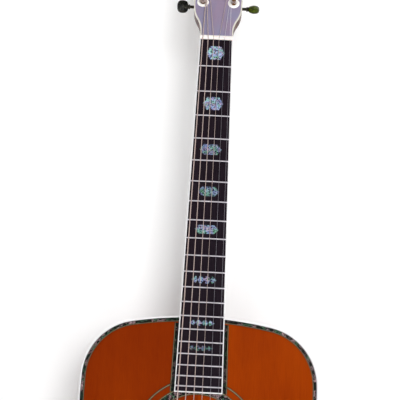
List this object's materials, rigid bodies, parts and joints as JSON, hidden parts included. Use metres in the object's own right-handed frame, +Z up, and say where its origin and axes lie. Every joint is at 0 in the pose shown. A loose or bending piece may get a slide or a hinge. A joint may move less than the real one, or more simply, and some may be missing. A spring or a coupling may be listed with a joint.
{
  "type": "acoustic-electric guitar",
  "caption": "Steel-string dreadnought acoustic guitar with bound amber top, shell inlay, geared tuners, an undersaddle pickup, a soundhole preamp and an end jack.",
  "frame": {"origin": "on the end jack's axis, in the plane of the body's tail", "axes": "+Z up the neck, +Y back through the body from the soundboard, +X to the treble side"},
  "size_m": [0.397, 0.1348, 1.0635],
  "materials": {
    "top_wood": "amber burst lacquer, high gloss",
    "body_wood": "dark red brown lacquer, high gloss",
    "inner_wood": "bare softwood",
    "neck_wood": "satin lacquer",
    "board_wood": "oiled, fine grain",
    "bridge_wood": "oiled, fine grain",
    "head_face": "polished grey lilac veneer",
    "binding": "polished ivory plastic",
    "shell": "polished shell inlay",
    "bone": "polished bone",
    "fret_metal": "polished nickel silver",
    "wound_metal": "bronze winding",
    "string_steel": "plain steel wire",
    "gold": "polished gold plate",
    "button": "dark olive gloss",
    "black_plastic": "black gloss",
    "matte_black": "fine matte",
    "lead_sheath": "soft black sheath",
    "spring_steel": "bare spring steel",
    "chrome": "polished nickel"
  },
  "bodies": {
    "body_and_neck": {"soundboard": "top_wood", "back_panel": "body_wood", "side_bass": "body_wood", "side_treble": "body_wood", "neck_block": "inner_wood", "tail_block": "inner_wood", "top_linings": "inner_wood", "back_linings": "inner_wood", "x_brace_bass": "inner_wood", "x_brace_treble": "inner_wood", "top_braces": "inner_wood", "bridge_plate": "inner_wood", "back_braces": "inner_wood", "back_strip": "inner_wood", "top_binding": "binding", "back_binding": "binding", "headstock_binding": "binding", "fingerboard_binding": "binding", "top_purfling": "shell", "rosette": "shell", "fret_markers": "shell", "neck": "neck_wood", "heel_cap": "binding", "fingerboard": "board_wood", "frets": "fret_metal", "headstock_veneer": "head_face", "bridge": "bridge_wood", "saddle": "bone", "nut": "bone", "bridge_pins": "bone", "pickguard": "black_plastic", "pickup_strip": "spring_steel", "preamp_housing": "matte_black", "battery": "matte_black", "battery_clip": "spring_steel", "internal_leads": "lead_sheath", "lead_clips": "matte_black", "end_jack": "chrome", "end_button": "chrome", "strap_button": "chrome", "truss_rod": "spring_steel", "wound_strings": "wound_metal", "plain_strings": "string_steel", "tuner_housings": "gold", "tuner_bushings": "gold"},
    "volume_wheel": {"volume_wheel": "matte_black"},
    "tone_wheel": {"tone_wheel": "matte_black"},
    "truss_rod_nut": {"truss_rod_nut": "spring_steel"},
    "tuner_button_6": {"tuner_button_6": "button"},
    "tuner_post_6": {"tuner_post_6": "gold"},
    "tuner_button_5": {"tuner_button_5": "button"},
    "tuner_post_5": {"tuner_post_5": "gold"},
    "tuner_button_4": {"tuner_button_4": "button"},
    "tuner_post_4": {"tuner_post_4": "gold"},
    "tuner_button_3": {"tuner_button_3": "button"},
    "tuner_post_3": {"tuner_post_3": "gold"},
    "tuner_button_2": {"tuner_button_2": "button"},
    "tuner_post_2": {"tuner_post_2": "gold"},
    "tuner_button_1": {"tuner_button_1": "button"},
    "tuner_post_1": {"tuner_post_1": "gold"}
  },
  "joints": [
    {"name": "button_6_turn", "type": "hinge", "parent": "body_and_neck", "child": "tuner_button_6", "pos_m": [-0.0206, -0.02454, 0.92853], "axis": [-1, 0, 0], "continuous": true},
    {"name": "post_6_turn", "type": "hinge", "parent": "body_and_neck", "child": "tuner_post_6", "pos_m": [-0.0206, -0.04751, 0.92589], "axis": [0, -0.9659, 0.2588], "continuous": true},
    {"name": "button_5_turn", "type": "hinge", "parent": "body_and_neck", "child": "tuner_button_5", "pos_m": [-0.02195, -0.01393, 0.96814], "axis": [-1, 0, 0], "continuous": true},
    {"name": "post_5_turn", "type": "hinge", "parent": "body_and_neck", "child": "tuner_post_5", "pos_m": [-0.02195, -0.03689, 0.96549], "axis": [0, -0.9659, 0.2588], "continuous": true},
    {"name": "button_4_turn", "type": "hinge", "parent": "body_and_neck", "child": "tuner_button_4", "pos_m": [-0.02331, -0.00332, 1.00774], "axis": [-1, 0, 0], "continuous": true},
    {"name": "post_4_turn", "type": "hinge", "parent": "body_and_neck", "child": "tuner_post_4", "pos_m": [-0.02331, -0.02628, 1.00509], "axis": [0, -0.9659, 0.2588], "continuous": true},
    {"name": "button_3_turn", "type": "hinge", "parent": "body_and_neck", "child": "tuner_button_3", "pos_m": [0.02331, -0.00332, 1.00774], "axis": [1, 0, 0], "continuous": true},
    {"name": "post_3_turn", "type": "hinge", "parent": "body_and_neck", "child": "tuner_post_3", "pos_m": [0.02331, -0.02628, 1.00509], "axis": [0, -0.9659, 0.2588], "continuous": true},
    {"name": "button_2_turn", "type": "hinge", "parent": "body_and_neck", "child": "tuner_button_2", "pos_m": [0.02195, -0.01393, 0.96814], "axis": [1, 0, 0], "continuous": true},
    {"name": "post_2_turn", "type": "hinge", "parent": "body_and_neck", "child": "tuner_post_2", "pos_m": [0.02195, -0.03689, 0.96549], "axis": [0, -0.9659, 0.2588], "continuous": true},
    {"name": "button_1_turn", "type": "hinge", "parent": "body_and_neck", "child": "tuner_button_1", "pos_m": [0.0206, -0.02454, 0.92853], "axis": [1, 0, 0], "continuous": true},
    {"name": "post_1_turn", "type": "hinge", "parent": "body_and_neck", "child": "tuner_post_1", "pos_m": [0.0206, -0.04751, 0.92589], "axis": [0, -0.9659, 0.2588], "continuous": true},
    {"name": "volume_turn", "type": "hinge", "parent": "body_and_neck", "child": "volume_wheel", "pos_m": [-0.05408, -0.0558, 0.37452], "axis": [0, 1, 0], "range_deg": [-135, 135]},
    {"name": "tone_turn", "type": "hinge", "parent": "body_and_neck", "child": "tone_wheel", "pos_m": [-0.04308, -0.0558, 0.39358], "axis": [0, 1, 0], "range_deg": [-135, 135]},
    {"name": "truss_nut_turn", "type": "hinge", "parent": "body_and_neck", "child": "truss_rod_nut", "pos_m": [0, -0.0565, 0.5], "axis": [0, 0, 1], "range_deg": [-180, 180]}
  ],
  "couplings": [
    {"joint": "post_6_turn", "follows": "button_6_turn", "ratio": -0.055556},
    {"joint": "post_5_turn", "follows": "button_5_turn", "ratio": -0.055556},
    {"joint": "post_4_turn", "follows": "button_4_turn", "ratio": -0.055556},
    {"joint": "post_3_turn", "follows": "button_3_turn", "ratio": 0.055556},
    {"joint": "post_2_turn", "follows": "button_2_turn", "ratio": 0.055556},
    {"joint": "post_1_turn", "follows": "button_1_turn", "ratio": 0.055556}
  ]
}
